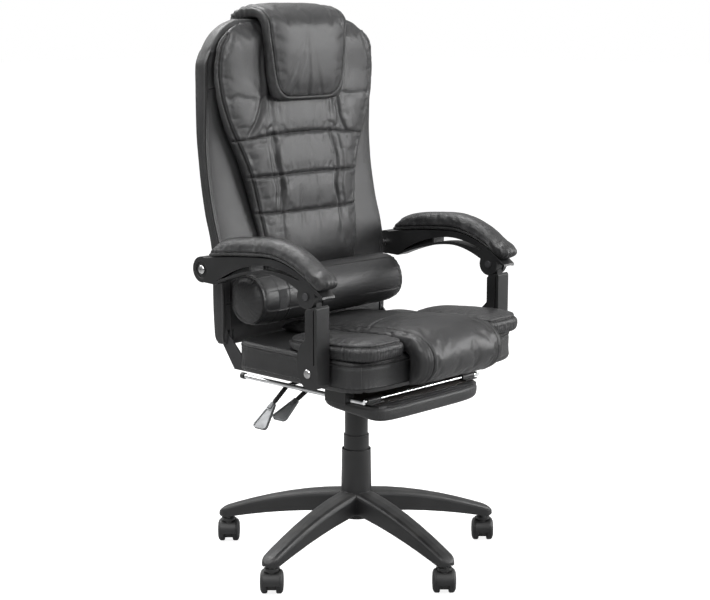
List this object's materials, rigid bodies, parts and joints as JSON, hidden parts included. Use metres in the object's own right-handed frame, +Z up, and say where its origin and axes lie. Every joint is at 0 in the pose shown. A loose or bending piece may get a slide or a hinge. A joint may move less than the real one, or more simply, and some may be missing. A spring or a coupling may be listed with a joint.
{
  "type": "reclining office chair with footrest",
  "caption": "High-backed padded office chair with reclining back, linked arms, lumbar roll, neck pillow, pull-out footrest, gas lift and star base on twin-wheel casters.",
  "frame": {"origin": "on the floor, under the axis of the gas lift, with all casters resting on z = 0", "axes": "+Z up, -Y towards the front of the seat, -X towards the sitter's right"},
  "size_m": [0.6263, 0.6269, 1.1923],
  "materials": {
    "wheel_plastic": "satin",
    "steel_bright": "satin",
    "nylon_black": "satin",
    "bush_plastic": "matte",
    "painted_steel": "satin",
    "plywood": "matte",
    "chrome": "polished",
    "pin_plastic": "satin",
    "lever_plastic": "satin",
    "paddle_silver": "satin",
    "elastic": "matte",
    "faux_leather": "satin"
  },
  "bodies": {
    "base": {"star_base": "nylon_black", "caster_stems": "steel_bright", "stand_tube": "painted_steel", "guide_bush": "bush_plastic", "thrust_bearing": "steel_bright", "lower_cover": "nylon_black"},
    "caster_1": {"caster_hood_1": "nylon_black"},
    "wheels_1": {"caster_wheels_1": "wheel_plastic", "caster_axle_1": "steel_bright"},
    "caster_2": {"caster_hood_2": "nylon_black"},
    "wheels_2": {"caster_wheels_2": "wheel_plastic", "caster_axle_2": "steel_bright"},
    "caster_3": {"caster_hood_3": "nylon_black"},
    "wheels_3": {"caster_wheels_3": "wheel_plastic", "caster_axle_3": "steel_bright"},
    "caster_4": {"caster_hood_4": "nylon_black"},
    "wheels_4": {"caster_wheels_4": "wheel_plastic", "caster_axle_4": "steel_bright"},
    "caster_5": {"caster_hood_5": "nylon_black"},
    "wheels_5": {"caster_wheels_5": "wheel_plastic", "caster_axle_5": "steel_bright"},
    "piston": {"piston_rod": "steel_bright"},
    "seat": {"pressure_tube": "steel_bright", "upper_cover": "nylon_black", "mechanism": "painted_steel", "seat_board": "plywood", "hinge_plates": "painted_steel", "seat_pins": "steel_bright", "rail_guides": "nylon_black", "seat_box": "faux_leather", "thigh_pad_left": "faux_leather", "thigh_pad_right": "faux_leather", "centre_cushion": "faux_leather", "arm_low_bolts": "chrome"},
    "sleeve": {"middle_cover": "nylon_black"},
    "back": {"back_frame": "painted_steel", "back_shell": "faux_leather", "back_panel": "faux_leather", "headrest_pillow": "faux_leather", "lumbar_roll": "faux_leather", "lumbar_strap": "elastic", "arm_rear_bolts": "chrome"},
    "upright_left": {"arm_upright_left": "nylon_black"},
    "arm_left": {"arm_frame_left": "nylon_black", "arm_pad_left": "faux_leather", "arm_pin_left": "pin_plastic"},
    "upright_right": {"arm_upright_right": "nylon_black"},
    "arm_right": {"arm_frame_right": "nylon_black", "arm_pad_right": "faux_leather", "arm_pin_right": "pin_plastic"},
    "rails": {"foot_rails": "chrome", "rail_caps": "nylon_black", "cross_rod": "chrome"},
    "footrest": {"foot_hinges": "chrome", "foot_board": "plywood", "foot_pad": "faux_leather"},
    "lift_lever": {"lift_lever": "lever_plastic", "lift_paddle": "paddle_silver"},
    "lock_lever": {"lock_lever": "lever_plastic", "lock_paddle": "paddle_silver"}
  },
  "joints": [
    {"name": "caster_1_swivel", "type": "hinge", "parent": "base", "child": "caster_1", "pos_m": [-0.05065, -0.29569, 0.0572], "axis": [0, 0, 1], "continuous": true},
    {"name": "wheels_1_spin", "type": "hinge", "parent": "caster_1", "child": "wheels_1", "pos_m": [-0.0434, -0.28881, 0.025], "axis": [0.6884, -0.7254, 0], "continuous": true},
    {"name": "caster_2_swivel", "type": "hinge", "parent": "base", "child": "caster_2", "pos_m": [0.26557, -0.13955, 0.0572], "axis": [0, 0, 1], "continuous": true},
    {"name": "wheels_2_spin", "type": "hinge", "parent": "caster_2", "child": "wheels_2", "pos_m": [0.27282, -0.13266, 0.025], "axis": [0.6884, -0.7254, 0], "continuous": true},
    {"name": "caster_3_swivel", "type": "hinge", "parent": "base", "child": "caster_3", "pos_m": [0.21478, 0.20945, 0.0572], "axis": [0, 0, 1], "continuous": true},
    {"name": "wheels_3_spin", "type": "hinge", "parent": "caster_3", "child": "wheels_3", "pos_m": [0.22204, 0.21633, 0.025], "axis": [0.6884, -0.7254, 0], "continuous": true},
    {"name": "caster_4_swivel", "type": "hinge", "parent": "base", "child": "caster_4", "pos_m": [-0.13283, 0.26899, 0.0572], "axis": [0, 0, 1], "continuous": true},
    {"name": "wheels_4_spin", "type": "hinge", "parent": "caster_4", "child": "wheels_4", "pos_m": [-0.12557, 0.27588, 0.025], "axis": [0.6884, -0.7254, 0], "continuous": true},
    {"name": "caster_5_swivel", "type": "hinge", "parent": "base", "child": "caster_5", "pos_m": [-0.29687, -0.0432, 0.0572], "axis": [0, 0, 1], "continuous": true},
    {"name": "wheels_5_spin", "type": "hinge", "parent": "caster_5", "child": "wheels_5", "pos_m": [-0.28962, -0.03632, 0.025], "axis": [0.6884, -0.7254, 0], "continuous": true},
    {"name": "seat_swivel", "type": "hinge", "parent": "base", "child": "piston", "pos_m": [0, 0, 0.094], "axis": [0, 0, 1], "continuous": true},
    {"name": "seat_lift", "type": "slide", "parent": "piston", "child": "seat", "axis": [0, 0, 1], "range_m": [-0.075, 0]},
    {"name": "sleeve_follow", "type": "slide", "parent": "base", "child": "sleeve", "axis": [0, 0, 1], "range_m": [-0.034, 0]},
    {"name": "recline", "type": "hinge", "parent": "seat", "child": "back", "pos_m": [0, 0.154, 0.498], "axis": [-1, 0, 0], "range_deg": [0, 35]},
    {"name": "upright_left_swing", "type": "hinge", "parent": "seat", "child": "upright_left", "pos_m": [0.2795, -0.15, 0.478], "axis": [-1, 0, 0], "range_deg": [0, 35]},
    {"name": "arm_left_pivot", "type": "hinge", "parent": "upright_left", "child": "arm_left", "pos_m": [0.2795, -0.147, 0.63], "axis": [-1, 0, 0], "range_deg": [-35, 0]},
    {"name": "upright_right_swing", "type": "hinge", "parent": "seat", "child": "upright_right", "pos_m": [-0.2795, -0.15, 0.478], "axis": [-1, 0, 0], "range_deg": [0, 35]},
    {"name": "arm_right_pivot", "type": "hinge", "parent": "upright_right", "child": "arm_right", "pos_m": [-0.2795, -0.147, 0.63], "axis": [-1, 0, 0], "range_deg": [-35, 0]},
    {"name": "footrest_slide", "type": "slide", "parent": "seat", "child": "rails", "axis": [0, -1, 0], "range_m": [0, 0.25]},
    {"name": "footrest_flip", "type": "hinge", "parent": "rails", "child": "footrest", "pos_m": [0, -0.185, 0.406], "axis": [-1, 0, 0], "range_deg": [0, 180]},
    {"name": "lift_lever_pull", "type": "hinge", "parent": "seat", "child": "lift_lever", "pos_m": [-0.082, 0.06, 0.4], "axis": [0, 1, 0], "range_deg": [0, 8], "stiffness_Nm_per_rad": 0.6, "springref_deg": -8.59},
    {"name": "lock_lever_pull", "type": "hinge", "parent": "seat", "child": "lock_lever", "pos_m": [-0.082, 0.015, 0.4], "axis": [0, 1, 0], "range_deg": [0, 8], "stiffness_Nm_per_rad": 0.6, "springref_deg": -8.59}
  ],
  "couplings": [
    {"joint": "sleeve_follow", "follows": "seat_lift", "ratio": 0.45},
    {"joint": "upright_left_swing", "follows": "recline", "ratio": 1},
    {"joint": "arm_left_pivot", "follows": "recline", "ratio": -1},
    {"joint": "upright_right_swing", "follows": "recline", "ratio": 1},
    {"joint": "arm_right_pivot", "follows": "recline", "ratio": -1},
    {"joint": "footrest_flip", "follows": "footrest_slide", "rad_per_m": 12.566}
  ]
}
